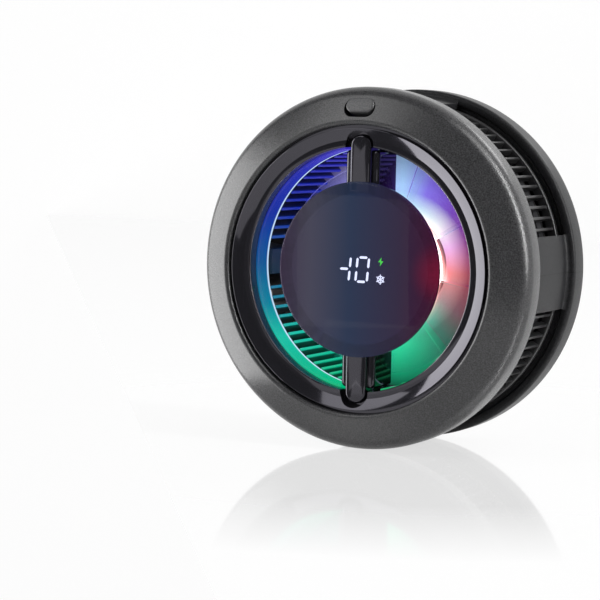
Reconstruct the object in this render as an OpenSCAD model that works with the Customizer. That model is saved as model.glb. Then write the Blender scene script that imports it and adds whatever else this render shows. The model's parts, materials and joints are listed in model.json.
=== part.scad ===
// Magnetic phone cooler: a round, thermoelectric cooler with a fan that blows out all round, a lit inlet
// and a round display. It clings to the back of a phone by a ring of magnets.
// Drawn lying on the phone: x to the right, y towards 12 o'clock, z away from the phone, zero at the
// phone. upright() then turns it so that the front faces -Y and 12 o'clock is +Z.

/* [Housing] */
// Outside diameter of the housing
outer_d = 66; // [62:0.5:76]
// Wall of the front bezel
bezel_wall = 1.6; // [1.2:0.1:2.2]
// Width of the bezel's sloping front face, from its inner edge to the outside
bezel_w = 6.9; // [6.2:0.1:8]
// Rounding of the bezel's outer edge
edge_round = 2.9; // [2.2:0.1:3.4]
// Depth from the bezel's front edge to the centre of that rounding
edge_drop = 5; // [4.2:0.1:6]
// Length of the bezel's straight side
bezel_side = 3.2; // [2:0.1:4.5]
// Rounding of the bezel's inner edge
seam_round = 0.4; // [0.2:0.05:0.6]
// Height of the rear flange's rim
flange_h = 5.1; // [4.4:0.1:6]
// Thickness of the rear flange's rim
flange_rim = 1.9; // [1.5:0.1:2.4]
// How far the seat of the outlet grille lies below the top of the flange
seat_drop = 0.6; // [0.4:0.1:1]
// Height of the bevel between a bridge and the flange
flange_bevel = 1.3; // [0.8:0.1:2]
// Thickness of the rear floor
floor_t = 1.5; // [1.2:0.1:2]
// How far the waist lies inside the bezel
waist_in = 1.5; // [1.2:0.1:2]
// Wall of the waist bridges
waist_wall = 0.9; // [0.7:0.1:1.2]
// Half angle of the bridges at 12 and 6 o'clock
bridge_tall = 16; // [15:0.5:18]
// Half angle of the bridges at 3 and 9 o'clock
bridge_side = 12.5; // [9:0.5:15]

/* [Inlet] */
// Width of the groove between the bezel and the inlet ring
groove_w = 0.6; // [0.4:0.1:1]
// Width of the inlet ring's sloping face
rim_w = 2.9; // [2.4:0.1:3.4]
// Depth of the inlet ring, front edge to light guide
inlet_h = 4.3; // [3.8:0.1:5]
// Height of the inlet ring's straight lip
lip_h = 2.8; // [2.3:0.1:3.1]
// How far the lip's edge is eased
lip_ease = 0.6; // [0.2:0.1:0.9]
// How far the inlet ring's face lies behind the bezel's front edge
face_drop = 0.6; // [0.3:0.05:0.8]
// Width of the ledge outside that face
rim_flat = 0.7; // [0.5:0.05:0.9]
// How far the ledge lies behind the bezel's front edge
rim_drop = 1.3; // [1.1:0.05:1.5]
// How far the edges of the face and the ledge are eased
rim_ease = 0.2; // [0.1:0.05:0.3]
// Thickness of the inlet ring
inlet_t = 1.1; // [0.9:0.1:1.4]
// Width of the free annulus between the display and the lip
inlet_w = 6.7; // [6:0.1:8]
// Width of the notch in the inlet ring for each display arm
notch_w = 5.6; // [5:0.1:6]
// Fillet at the mouth of that notch
notch_fillet = 1.4; // [0.8:0.1:1.8]
// Height of the light guide
guide_h = 4.2; // [3.6:0.1:4.8]
// How far the light guide stands in from the lip
guide_step = 0.6; // [0.4:0.1:0.9]
// Thickness of the light guide's walls
guide_wall = 0.9; // [0.7:0.1:1.2]

/* [Display] */
// Thickness of the display lens
lens_t = 1.2; // [0.9:0.1:1.6]
// Rounding of the lens edge
lens_round = 0.4; // [0.2:0.05:0.6]
// How far the lens lies behind the bezel's front edge
lens_drop = 1.6; // [1:0.1:2.2]
// Wall of the display pod
pod_wall = 1.2; // [0.9:0.1:1.6]
// Depth of the display pod behind the lens
pod_h = 5.2; // [4.6:0.1:6]
// How much smaller the pod is at its back, on the radius
pod_taper = 3; // [2:0.1:4]
// Height of the pod's straight rim
pod_rim = 0.5; // [0.3:0.1:0.8]
// Width of an arm's front rib
rib_w = 4.2; // [3.6:0.1:4.4]
// Reach of the rib past the lip
rib_reach = 1.8; // [1.4:0.1:2.2]
// How far the rib's front lies behind the front of the lens
rib_drop = 0.5; // [0.3:0.1:1]
// Width of an arm's base
arm_w = 6.8; // [6:0.1:7.4]
// How far the base's shoulder lies behind the rib's front
shoulder_drop = 1; // [0.6:0.1:1.8]
// Height of an arm's foot
foot_h = 2; // [1.6:0.1:2.2]
// Thickness of the display's circuit board
display_board_t = 1; // [0.6:0.1:1.2]
// Height of the display's digits
digit_h = 4.85; // [4:0.05:5.5]
// Width of a digit
digit_w = 2.3; // [1.8:0.05:2.6]
// Width of one lit segment
segment_w = 0.45; // [0.35:0.05:0.6]
// Gap between two segments that meet
segment_gap = 0.15; // [0.1:0.05:0.3]
// Lean of the digits
digit_lean = 5; // [0:1:10]
// Height of the signs beside the digits
sign_h = 1.6; // [1.2:0.1:2]
// Width of the snow sign's lines
sign_line = 0.18; // [0.12:0.02:0.24]

/* [Button] */
// Length of the button's opening
button_l = 6.2; // [5.4:0.1:7]
// Height of the button's opening
button_h = 3.4; // [2.8:0.1:4]
// Gap round the button cap
button_gap = 0.3; // [0.25:0.05:0.5]
// How far the cap stands out of the bezel
button_proud = 0.3; // [0.1:0.05:0.5]
// Travel of the button
button_travel = 0.4; // [0.2:0.05:0.6]
// Width of the switch body
switch_w = 3.6; // [3:0.1:4.5]
// Depth of the switch body, across its width
switch_d = 2.5; // [2.2:0.1:2.6]
// Height of the switch body
switch_h = 1.5; // [1.2:0.1:1.8]

/* [Cold side] */
// Thickness of the silicone pad that meets the phone
pad_t = 0.9; // [0.7:0.1:1.2]
// How far the pad is let into the floor
pad_inset = 0.5; // [0.3:0.05:0.6]
// Outer diameter of the magnet ring
magnet_od = 54; // [52:0.5:55]
// Width of the magnet ring
magnet_w = 4; // [3:0.1:5]
// Height of the magnets
magnet_h = 2.2; // [1.6:0.1:2.4]
// Number of magnets in the ring
magnet_n = 16; // [12:2:20]
// Angle left open between two magnets
magnet_space = 3; // [1:0.5:6]
// Thickness of the steel ring in front of the magnets
magnet_yoke_t = 0.6; // [0.4:0.1:0.8]
// Gap between the charging coil and the magnets
coil_gap = 3; // [2.6:0.1:4]
// Width of the coil's winding
coil_w = 11; // [8:0.5:14]
// Thickness of the charging coil
coil_t = 0.8; // [0.6:0.1:1.2]
// Thickness of the ferrite sheet
ferrite_t = 0.6; // [0.4:0.1:1]
// Thickness of the cold plate
cold_t = 2.6; // [2:0.1:3.2]
// Side of the thermoelectric module
tec_side = 28; // [22:0.5:29]
// Thickness of its two ceramic plates
tec_plate_t = 0.7; // [0.5:0.05:1]
// Height of its pellets
tec_gap = 1.8; // [1.2:0.1:2.4]
// Pellets along one side
tec_n = 8; // [6:1:10]
// Share of its place that a pellet takes up
tec_fill = 0.55; // [0.4:0.05:0.7]

/* [Heat sink and fan] */
// Thickness of the heat sink's base
sink_base_t = 2; // [1.6:0.1:2.6]
// Height of the fins
fin_h = 10.1; // [9.6:0.1:12]
// Thickness of a fin
fin_t = 0.5; // [0.4:0.05:0.8]
// Fins in a full turn
fin_n = 72; // [60:2:84]
// Gap between the heat sink and the outlet grille
sink_gap = 0.4; // [0.3:0.05:0.6]
// Radial depth of an outlet slat
slat_d = 1.5; // [1.2:0.1:1.7]
// Thickness of an outlet slat
slat_t = 0.6; // [0.4:0.05:0.8]
// Angle from slat to slat
slat_pitch = 4; // [3.5:0.1:5]
// Height of the grille's end rings
grille_ring = 1; // [0.8:0.1:1.3]
// Gap between the grille's rear ring and the flange
grille_gap = 0.4; // [0.3:0.05:0.6]
// Share of the pitch left free between the last slat and the bridge
slat_margin = 0.3; // [0.2:0.05:0.5]
// How far the grille's rear rim stands out past the slats
grille_rim = 0.2; // [0.1:0.05:0.4]
// Clear space under the fan blades
blade_gap = 3.6; // [3.4:0.1:4.2]
// Height of the fan blades
blade_h = 5.6; // [5:0.1:5.7]
// Thickness of a blade
blade_t = 0.8; // [0.6:0.05:1]
// Number of blades
blade_n = 9; // [7:1:11]
// Camber radius of a blade
blade_camber = 22; // [16:1:40]
// Gap from the blade tips to the light guide
tip_gap = 2.1; // [1.6:0.1:2.6]
// Outside diameter of the fan's hub
hub_d = 20.4; // [20:0.1:22]
// Wall of the fan's hub
hub_wall = 0.8; // [0.6:0.05:1]
// Shaft diameter
shaft_d = 1.5; // [1.2:0.1:2]
// Running clearance of the shaft in its sleeve, on the radius
shaft_clear = 0.04; // [0.02:0.01:0.08]
// Air gap between the rotor magnet and the stator
air_gap = 0.4; // [0.3:0.05:0.5]
// Poles of the stator
pole_n = 6; // [6:3:9]

/* [Frame and boards] */
// Thickness of the frame that carries the front parts
frame_t = 1; // [0.8:0.1:1.4]
// Thickness of the ring-shaped main board
ring_board_t = 0.7; // [0.6:0.1:1]
// Number of coloured light-emitting diodes
led_n = 12; // [8:4:16]
// Width of the charging socket's shell
usb_w = 8.9; // [8.6:0.1:9]
// Height of the charging socket's shell
usb_h = 3.2; // [3:0.05:3.3]
// Length of the charging socket
usb_l = 6.4; // [5.6:0.1:6.8]
// Wall of the socket's shell
usb_wall = 0.3; // [0.25:0.05:0.4]
// Radius of the screw bosses
boss_r = 1.5; // [1.3:0.05:1.55]
// Radius of a screw's shank
screw_r = 0.7; // [0.5:0.05:0.75]
// Radius of a screw's head
screw_head_r = 1.1; // [0.9:0.05:1.15]

/* [Hidden] */
$fn = 96;

// Small clearances between pieces that are fitted together, and overlap that makes cuts clean
fit = 0.1;
slip = 0.3;
eps = 0.01;

// Radii, from the outside inwards
outer_r = outer_d / 2;
seam_r = outer_r - bezel_w;
rim_r = seam_r - groove_w;
lip_r = rim_r - rim_w;
lens_r = lip_r - inlet_w;
guide_r = lip_r - guide_step;
tip_r = guide_r - tip_gap;
waist_r = outer_r - waist_in;
waist_in_r = waist_r - waist_wall;
rim_out_r = waist_in_r - fit;
slat_out_r = rim_out_r - grille_rim;
slat_in_r = slat_out_r - slat_d;
sink_r = slat_in_r - sink_gap;
fin_in_r = guide_r - slip;
fin_step_r = guide_r + guide_wall;
boss_at = waist_in_r - boss_r;
pad_r = boss_at + boss_r + fit;
magnet_r = magnet_od / 2;
magnet_in_r = magnet_r - magnet_w;
floor_lip = 1;
floor_in_r = magnet_in_r - floor_lip;
cold_r = floor_in_r - slip;
coil_r = magnet_in_r - coil_gap;
coil_in_r = coil_r - coil_w;
ferrite_over = 0.5;

// Heights, from the phone outwards
z_floor = pad_t - pad_inset;
z_floor_in = z_floor + floor_t;
z_ferrite = pad_t + coil_t;
z_cold = z_ferrite + ferrite_t;
z_tec = z_cold + cold_t;
z_pellet = z_tec + tec_plate_t;
z_hot = z_pellet + tec_gap;
z_base = z_hot + tec_plate_t;
z_fin = z_base + sink_base_t;
z_frame = z_fin + fin_h;
z_board = z_frame + frame_t;
z_guide = z_board + ring_board_t;
z_inlet = z_guide + guide_h;
z_seam = z_inlet + inlet_h;
z_edge = z_seam - edge_drop;
z_bezel = z_edge - bezel_side;
z_flange = z_floor + flange_h;
z_yoke = z_floor_in + magnet_h;
z_blade = z_fin + blade_gap;
z_hub = z_blade + blade_h;

// The bezel's front face is a cone that runs on into the rounded edge
edge_c = [outer_r - edge_round, z_edge];
seam_p = [seam_r, z_seam];
edge_p = tangent(seam_p, edge_c, edge_round, 1);
face_slope = atan2(z_seam - edge_p.y, edge_p.x - seam_r);
face_normal = [sin(face_slope), cos(face_slope)];

// Clock angles of the screw bosses, which stand behind the bridges
boss_off = asin((usb_w / 2 + boss_r + fit) / boss_at);
boss_angles = [boss_off, 90, 180 - boss_off, 180 + boss_off, 270, -boss_off];
screw_head_h = 1;
screw_seat_depth = 6;
screw_seat = z_frame - screw_seat_depth;
screw_reach = 4;
screw_tip_gap = 0.5;
block_half = 6;
block_clear = 9;
block_step = 0.5;
block_in = fin_in_r + block_step;
block_screw_r = (block_in + sink_r) / 2;
gap_margin = 1;
gap_half = bridge_tall + gap_margin;

// Arms of the display pod
lens_front = z_seam - lens_drop;
lens_back = lens_front - lens_t;
pod_back = lens_back - pod_h;
rib_end = lip_r + rib_reach;
rib_front = lens_front - rib_drop;
arm_front = rib_front - shoulder_drop;
foot_w = arm_w - 2 * slip;
foot_reach = 2.2;
foot_end = rib_end + foot_reach;
foot_edge = 1.4;
foot_boss_h = 3;
foot_screw_r = foot_end - foot_edge;
arm_end = sqrt(guide_r * guide_r - arm_w * arm_w / 4) - fit;
arm_cut = arm_w + 4 * slip;
segment_rise = 0.8;
zero_x = digit_w / 4;
one_x = zero_x - digit_w * 1.1;
minus_x = one_x - digit_w / 2;
sign_x = zero_x + digit_w * 1.6;
sign_y = sign_h;
board_z = lens_back - slip - segment_rise - display_board_t;
pod_back_r = lens_r - pod_taper;
board_at = (board_z - pod_back) / (pod_h - pod_rim);
board_r = pod_back_r + pod_taper * board_at - pod_wall;

// Ring board with its diodes
ring_board_over = 0.8;
ring_board_r = rim_r + ring_board_over;
led_size = 1.6;
led_h = 0.65;
led_r = guide_r + guide_wall + led_size;

// Button stack, from the bezel's inner face down to the frame
button_place = 0.6;
button_r = seam_r + (edge_p.x - seam_r) * button_place;
button_flange = 0.6;
flange_over = 0.5;
flange_low = face_height(button_r + button_h / 2 + flange_over) - bezel_wall / cos(face_slope) - fit * 2;
plunger_top = flange_low - button_flange - fit;
plunger_r = 0.9;
switch_top = plunger_top - button_travel - slip;
switch_board_t = 0.8;
shelf_top = switch_top - switch_h - switch_board_t;
shelf_w = 2 * (boss_at * sin(boss_off) - boss_r - fit);
shelf_in = foot_end + fit;
shelf_out = sqrt(waist_in_r * waist_in_r - shelf_w * shelf_w / 4) - fit;

// Charging socket, lying on its board at 6 o'clock
usb_mouth = waist_r - slip;
usb_board_t = 0.8;
usb_z = z_fin + usb_board_t + usb_h / 2;
usb_board_gap = 1.2;
usb_board_in = fin_in_r + usb_board_gap;
usb_tongue_t = 0.7;
usb_tongue_w = usb_w * 3 / 4;
usb_tongue_back = 1;

// Temperature probe, in the free strip of the cold plate beside the module
probe_r = 0.7;
probe_l = 3.5;
probe_y = (tec_side / 2 + cold_r) / 2;

// Fan motor
hub_r = hub_d / 2;
yoke_wall = 0.55;
yoke_r = hub_r - hub_wall - fit / 2;
magnet_out = yoke_r - yoke_wall - fit / 2;
magnet_wall = 1;
magnet_in = magnet_out - magnet_wall;
stator_r = magnet_in - air_gap;
shaft_r = shaft_d / 2;
sleeve_in = shaft_r + shaft_clear;
sleeve_wall = 1.2;
sleeve_r = sleeve_in + sleeve_wall;
tube_wall = 0.9;
tube_r = sleeve_r + tube_wall;
fan_base_t = 1.2;
fan_board_t = 0.6;
fan_board_z = z_fin + fan_base_t;
hub_top = 1;
yoke_top = z_hub - hub_top - fit;
yoke_top_t = 0.6;
stator_h = 2.4;
stator_gap = 1.2;
stator_z = yoke_top - yoke_top_t - stator_gap - stator_h;
pole_share = 0.22;
pole_w = stator_r * pole_share;
shoe_t = 0.8;
shoe_share = 0.76;
core_wall = 1;
core_r = tube_r + fit + core_wall;
winding = 0.6;
sleeve_top = yoke_top - yoke_top_t - slip;
rotor_low = z_blade;

// Where a line from p touches a circle
function tangent(p, c, r, side) =
  let (d = c - p, reach = norm(d), turn = atan2(d.y, d.x) + side * asin(r / reach))
  p + sqrt(reach * reach - r * r) * [cos(turn), sin(turn)];

// Height of the bezel's sloping face at a radius
function face_height(r) = z_seam - (r - seam_r) * tan(face_slope);

module upright() {
  rotate([90, 0, 0]) children();
}

// A place at a clock angle, in degrees clockwise from 12 o'clock
module clock(angle, r = 0) {
  rotate([0, 0, -angle]) translate([0, r, 0]) children();
}

module ring(r_in, r_out, z0, z1) {
  translate([0, 0, z0]) difference() {
    cylinder(r = r_out, h = z1 - z0);
    translate([0, 0, -eps]) cylinder(r = r_in, h = z1 - z0 + 2 * eps);
  }
}

module rod(r, z0, z1) {
  translate([0, 0, z0]) cylinder(r = r, h = z1 - z0);
}

module block(w, y0, y1, z0, z1) {
  translate([-w / 2, y0, z0]) cube([w, y1 - y0, z1 - z0]);
}

// Flat shape with round ends
module stadium(w, h) {
  square([w - h, h], center = true);
  for (side = [-1, 1]) translate([side * (w - h) / 2, 0]) circle(d = h);
}

// Rectangle with round corners, from p0 to p1
module soft_rect(p0, p1, r) {
  translate(p0 + [r, 0]) square(p1 - p0 - [2 * r, 0]);
  translate(p0 + [0, r]) square(p1 - p0 - [0, 2 * r]);
  for (x = [p0.x + r, p1.x - r], y = [p0.y + r, p1.y - r]) translate([x, y]) circle(r = r);
}

// Wedge between two clock angles
module wedge(a0, a1, z0, z1) {
  far = 2 * outer_r;
  translate([0, 0, z0]) linear_extrude(z1 - z0)
    polygon([[0, 0], for (k = [0 : 4]) let (a = a0 + (a1 - a0) * k / 4) far * [sin(a), cos(a)]]);
}

// The four outlet windows between the bridges, as pairs of clock angles
windows = [
  for (side = [0, 180])
    each [[side + bridge_tall, side + 90 - bridge_side], [side + 90 + bridge_side, side + 180 - bridge_tall]]
];

// Half section of all that lies inside the bezel's outer face, sunk by t
module face_region(t, low) {
  shift = t * face_normal;
  union() {
    polygon([
      [seam_r, low], [seam_r, face_height(seam_r) - t / cos(face_slope)], edge_p - shift, edge_c,
      [outer_r - t, z_edge], [outer_r - t, low]
    ]);
    translate(edge_c) circle(r = edge_round - t);
  }
}

// What is cut off a sharp corner p, between its two neighbours, to leave it round
module corner(before, p, after, r) {
  u = (before - p) / norm(before - p);
  v = (after - p) / norm(after - p);
  half = acos(u * v) / 2;
  inward = (u + v) / norm(u + v);
  c = p + inward * r / sin(half);
  t1 = p + u * r / tan(half);
  t2 = p + v * r / tan(half);
  out = -inward * r / sin(half);
  difference() {
    polygon([c, t1, t1 + out, t2 + out, t2]);
    translate(c) circle(r = r);
  }
}

// Rear shell: floor with a rounded rim, and the four bridges of the waist with their screw bosses
module rear_housing() {
  spigot_r = outer_r - bezel_wall - fit;
  seat_in_r = max(slat_in_r, magnet_r + slip);
  color("dimgray") upright() difference() {
    union() {
      rotate_extrude() {
        soft_rect([outer_r - flange_rim, z_floor], [outer_r, z_flange], flange_rim / 2 - eps);
        translate([floor_in_r, z_floor]) square([outer_r - flange_rim / 2 - floor_in_r, floor_t]);
        translate([seat_in_r, z_floor]) square([outer_r - flange_rim / 2 - seat_in_r, flange_h - seat_drop]);
      }
      difference() {
        union() {
          ring(waist_in_r, waist_r, z_floor, z_bezel);
          rotate_extrude() polygon([
            [waist_in_r, z_flange - flange_rim / 2], [outer_r - flange_rim / 4, z_flange - flange_rim / 4],
            [waist_r, z_flange + flange_bevel], [waist_in_r, z_flange + flange_bevel]
          ]);
          ring(waist_in_r, spigot_r, z_floor, z_bezel + bezel_wall);
        }
        for (w = windows) wedge(w[0], w[1], z_flange - flange_rim / 2, z_seam);
      }
      for (a = boss_angles) {
        clock(a, boss_at) rod(boss_r, z_floor, z_frame);
        clock(a) block(boss_r, boss_at, waist_in_r + waist_wall / 2, z_floor, z_frame);
      }
    }
    rod(pad_r + fit, 0, pad_t);
    for (a = boss_angles) clock(a, boss_at) {
      rod(screw_head_r + fit, 0, screw_seat);
      rod(screw_r + fit, 0, z_seam);
    }
    translate([0, -outer_r, usb_z]) rotate([-90, 0, 0])
      linear_extrude(outer_r / 2) stadium(usb_w + 2 * fit, usb_h + 2 * fit);
  }
}

// Soft pad that lies on the phone, stuck into the recess of the floor
module contact_pad() {
  color("lightgray") upright() rotate_extrude() intersection() {
    union() {
      soft_rect([0, 0], [pad_r, pad_t], pad_t / 3);
      square([pad_r / 2, pad_t]);
    }
    square([pad_r, pad_t]);
  }
}

// Room that other pieces leave for the screw bosses
module boss_room() {
  for (a = boss_angles) clock(a, boss_at) rod(boss_r + slip, z_floor, z_seam);
}

module magnet_ring() {
  step = 360 / magnet_n;
  half_space = magnet_space / 2;
  color("silver") upright() difference() {
    for (k = [0 : magnet_n - 1]) intersection() {
      ring(magnet_in_r, magnet_r, z_floor_in, z_yoke);
      wedge(k * step + half_space, (k + 1) * step - half_space, z_floor, z_base);
    }
    boss_room();
  }
}

module magnet_yoke() {
  color("gray") upright() difference() {
    ring(magnet_in_r, magnet_r, z_yoke, z_yoke + magnet_yoke_t);
    boss_room();
  }
}

module charging_coil() {
  color("peru") upright() ring(coil_in_r, coil_r, pad_t, z_ferrite);
}

module ferrite_sheet() {
  color("darkslategray") upright() rod(coil_r + ferrite_over, z_ferrite, z_cold);
}

// Aluminium plate that carries the cold of the module to the coil and the pad
module cold_plate() {
  color("lightgray") upright() difference() {
    rod(cold_r, z_cold, z_tec);
    translate([-probe_l / 2 - fit, probe_y, z_tec]) rotate([0, 90, 0])
      cylinder(r = probe_r + fit, h = probe_l + 2 * fit);
  }
}

// Thermistor bead, lying in a groove of the cold plate beside the module
module temperature_probe() {
  color("black") upright() translate([-probe_l / 2, probe_y, z_tec]) rotate([0, 90, 0])
    cylinder(r = probe_r, h = probe_l);
}

module tec_plate(z0) {
  translate([-tec_side / 2, -tec_side / 2, z0]) cube([tec_side, tec_side, tec_plate_t]);
}

module tec_cold_plate() {
  color("white") upright() tec_plate(z_tec);
}

module tec_hot_plate() {
  color("white") upright() tec_plate(z_hot);
}

module tec_pellets() {
  step = tec_side / tec_n;
  size = step * tec_fill;
  first = (step - tec_side - size) / 2;
  color("darkgray") upright() for (i = [0 : tec_n - 1], j = [0 : tec_n - 1])
    translate([first + i * step, first + j * step, z_pellet]) cube([size, size, tec_gap]);
}

// Foam ring that keeps the warm heat sink off the cold plate
module insulation_ring() {
  foam_r = boss_at - boss_r - fit;
  color("black") upright() ring(cold_r + fit, foam_r, z_yoke + magnet_yoke_t, z_base);
}

// Round base with radial fins: gaps at 12 and 6 o'clock, solid blocks at 3 and 9 o'clock
module heat_sink() {
  step = 360 / fin_n;
  function clear_of(a, places, half) = min([for (p = places) abs(a - p)]) > half;
  function open(a) = clear_of(a, [0, 180, 360], gap_half) && clear_of(a, [90, 270], block_clear);
  color("silver") upright() difference() {
    union() {
      rod(sink_r, z_base, z_fin);
      for (k = [0 : fin_n - 1]) {
        a = (k + 0.5) * step;
        if (open(a)) clock(a) {
          block(fin_t, fin_in_r, sink_r - slip, z_fin - eps, z_frame);
          block(fin_t, fin_in_r, fin_step_r, z_frame - eps, z_guide);
        }
      }
      for (a = [90, 270]) intersection() {
        ring(block_in, sink_r - slip, z_fin - eps, z_frame);
        wedge(a - block_half, a + block_half, z_base, z_seam);
      }
    }
    boss_room();
    for (a = [90, 270]) clock(a, block_screw_r) rod(screw_r + fit, z_frame - screw_reach - 1, z_seam);
  }
}

module usb_board() {
  color("darkgreen") upright()
    block(usb_w, -sqrt(sink_r * sink_r - usb_w * usb_w / 4), -usb_board_in, z_fin, z_fin + usb_board_t);
}

module usb_body(w, h, y0, y1) {
  translate([0, -y1, usb_z]) rotate([-90, 0, 0]) linear_extrude(y1 - y0) stadium(w, h);
}

// Drawn steel shell of the socket, closed at its inner end
module usb_socket() {
  color("silver") upright() difference() {
    usb_body(usb_w, usb_h, usb_mouth - usb_l, usb_mouth);
    usb_body(usb_w - 2 * usb_wall, usb_h - 2 * usb_wall, usb_mouth - usb_l + 2 * usb_wall, usb_mouth + 1);
  }
}

module usb_tongue() {
  color("black") upright() translate([0, 0, usb_z - usb_tongue_t / 2])
    block(usb_tongue_w, -usb_mouth + usb_tongue_back, -usb_mouth + usb_l - 2 * usb_wall, 0, usb_tongue_t);
}

// Outlet grille: four inserts of upright slats between two end rings
module exhaust_grille() {
  z_low = z_flange + grille_gap;
  z_top = z_bezel + grille_ring + slip;
  color("dimgray") upright() for (w = windows) {
    middle = (w[0] + w[1]) / 2;
    side_n = floor((w[1] - w[0]) / 2 / slat_pitch - slat_margin);
    intersection() {
      union() {
        ring(slat_in_r, rim_out_r, z_low, z_low + grille_ring);
        ring(slat_in_r, slat_out_r, z_top - grille_ring, z_top);
      }
      wedge(w[0], w[1], 0, z_seam);
    }
    for (k = [-side_n : side_n]) clock(middle + k * slat_pitch)
      block(slat_t, slat_in_r + eps, slat_out_r - slat_t / 4, z_low + eps, z_top - eps);
  }
}

// Base of the motor with the tube that holds the sleeve
module fan_base() {
  color("black") upright() {
    ring(sleeve_in, hub_r - hub_wall, z_fin, fan_board_z);
    ring(sleeve_r + fit / 2, tube_r, z_fin, sleeve_top);
  }
}

module fan_board() {
  color("darkgreen") upright() ring(tube_r + fit, stator_r, fan_board_z, fan_board_z + fan_board_t);
}

module bearing_sleeve() {
  color("darkgoldenrod") upright() ring(sleeve_in, sleeve_r, fan_board_z, sleeve_top);
}

// Laminated stator with T-shaped poles
module stator_core() {
  step = 360 / pole_n;
  color("gray") upright() {
    ring(tube_r + fit, core_r, stator_z, stator_z + stator_h);
    for (k = [0 : pole_n - 1]) {
      clock(k * step) block(pole_w, core_r - slip, stator_r - shoe_t / 2, stator_z, stator_z + stator_h);
      intersection() {
        ring(stator_r - shoe_t, stator_r, stator_z, stator_z + stator_h);
        wedge((k - shoe_share / 2) * step, (k + shoe_share / 2) * step, z_fin, z_hub);
      }
    }
  }
}

// One coil of copper wire round each pole
module stator_windings() {
  winding_w = pole_w + 2 * winding;
  shoe_in = stator_r - shoe_t;
  winding_end = sqrt(shoe_in * shoe_in - winding_w * winding_w / 4) - fit;
  color("peru") upright() for (k = [0 : pole_n - 1]) clock(k * 360 / pole_n) difference() {
    block(winding_w, core_r + fit, winding_end, stator_z - winding, stator_z + stator_h + winding);
    block(pole_w + fit / 5, 0, stator_r, stator_z - fit / 10, stator_z + stator_h + fit / 10);
  }
}

module shaft() {
  color("silver") upright() rod(shaft_r, fan_board_z + slip, z_hub - hub_top / 2);
}

module rotor_magnet() {
  color("black") upright() ring(magnet_in, magnet_out, rotor_low + slip, yoke_top - yoke_top_t - slip);
}

// Deep-drawn steel cup round the magnet
module rotor_yoke() {
  color("gray") upright() difference() {
    rod(yoke_r, rotor_low + slip, yoke_top);
    rod(yoke_r - yoke_wall, rotor_low, yoke_top - yoke_top_t);
    rod(shaft_r + fit / 5, rotor_low, z_hub);
  }
}

// One cambered blade: a tilted slice of a tube, cut to a sickle-shaped plan
module blade() {
  span = 360 / blade_n;
  chord = 2 * tip_r * sin(span / 2);
  pitch = atan2(blade_h - blade_t, chord);
  middle = z_blade + blade_h / 2;
  intersection() {
    ring(hub_r - hub_wall / 2, tip_r, z_blade, z_hub);
    wedge(-span * 0.5, span * 0.5, z_blade - 1, z_hub + 1);
    translate([0, 0, middle]) rotate([0, pitch, 0]) translate([0, 0, -blade_camber]) rotate([-90, 0, 0])
      difference() {
        cylinder(r = blade_camber + blade_t, h = outer_r);
        translate([0, 0, -eps]) cylinder(r = blade_camber, h = outer_r + 2 * eps);
      }
  }
}

// Clear fan: a hub cup with a boss for the shaft and a row of cambered blades
module impeller() {
  color("lightcyan") upright() {
    difference() {
      union() {
        rod(hub_r, z_blade, z_hub);
        for (k = [0 : blade_n - 1]) clock(k * 360 / blade_n) blade();
      }
      rod(hub_r - hub_wall, z_blade - 1, z_hub - hub_top);
      rod(shaft_r + fit / 5, z_blade, z_hub - hub_top / 2);
    }
  }
}

// Flat ring on the fins: it carries the lights, the display arms and the button's switch
module fan_frame() {
  frame_r = sink_r;
  color("black") upright() difference() {
    union() {
      ring(fin_step_r + slip, frame_r, z_frame, z_board);
      for (a = boss_angles) {
        clock(a, boss_at) rod(boss_r, z_frame, z_board);
        clock(a) block(2 * boss_r, frame_r - 1, boss_at, z_frame, z_board);
      }
      for (a = [0, 180]) clock(a, foot_screw_r) rod(boss_r, z_frame - foot_boss_h, z_board);
      block(shelf_w, shelf_in, shelf_out, z_frame, shelf_top);
    }
    for (a = boss_angles) clock(a, boss_at) rod(screw_r + fit, z_base, z_seam);
    for (a = [90, 270]) clock(a, block_screw_r) rod(screw_r + fit, z_base, z_seam);
    for (a = [0, 180]) clock(a, foot_screw_r) rod(screw_r + fit, z_base, z_seam);
  }
}

// Main circuit board, a ring that leaves room for the arms
module ring_board() {
  color("darkgreen") upright() difference() {
    ring(fin_step_r + slip, ring_board_r, z_board, z_guide);
    for (a = [0, 180]) clock(a) block(arm_cut, 0, outer_r, z_board - 1, z_guide + 1);
    for (a = [90, 270]) clock(a, block_screw_r) rod(screw_head_r + slip, z_board - 1, z_guide + 1);
  }
}

module rgb_leds() {
  step = 360 / led_n;
  color("white") upright() for (k = [0 : led_n - 1]) clock((k + 0.5) * step)
    block(led_size, led_r - led_size / 2, led_r + led_size / 2, z_guide, z_guide + led_h);
}

// Clear ring with an L section that leads the light of the diodes to the inlet
module light_guide() {
  color("white") upright() difference() {
    union() {
      ring(guide_r, guide_r + guide_wall, z_guide, z_inlet);
      ring(guide_r, rim_r, z_inlet - guide_wall, z_inlet);
    }
    for (a = [0, 180]) clock(a) block(arm_cut, 0, outer_r, z_guide - 1, z_inlet + 1);
  }
}

// One display arm: front rib with a round end, wider base, and a foot that is screwed to the frame
module pod_arm() {
  root_r = board_r;
  block(rib_w, root_r, arm_end, z_frame, rib_front);
  block(rib_w, root_r, rib_end - rib_w / 2, z_board, rib_front);
  translate([0, rib_end - rib_w / 2, 0]) rod(rib_w / 2, z_board, rib_front);
  block(arm_w, root_r, arm_end, z_frame, arm_front);
  block(foot_w, arm_end - foot_edge, foot_end, z_board, z_board + foot_h);
}

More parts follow.
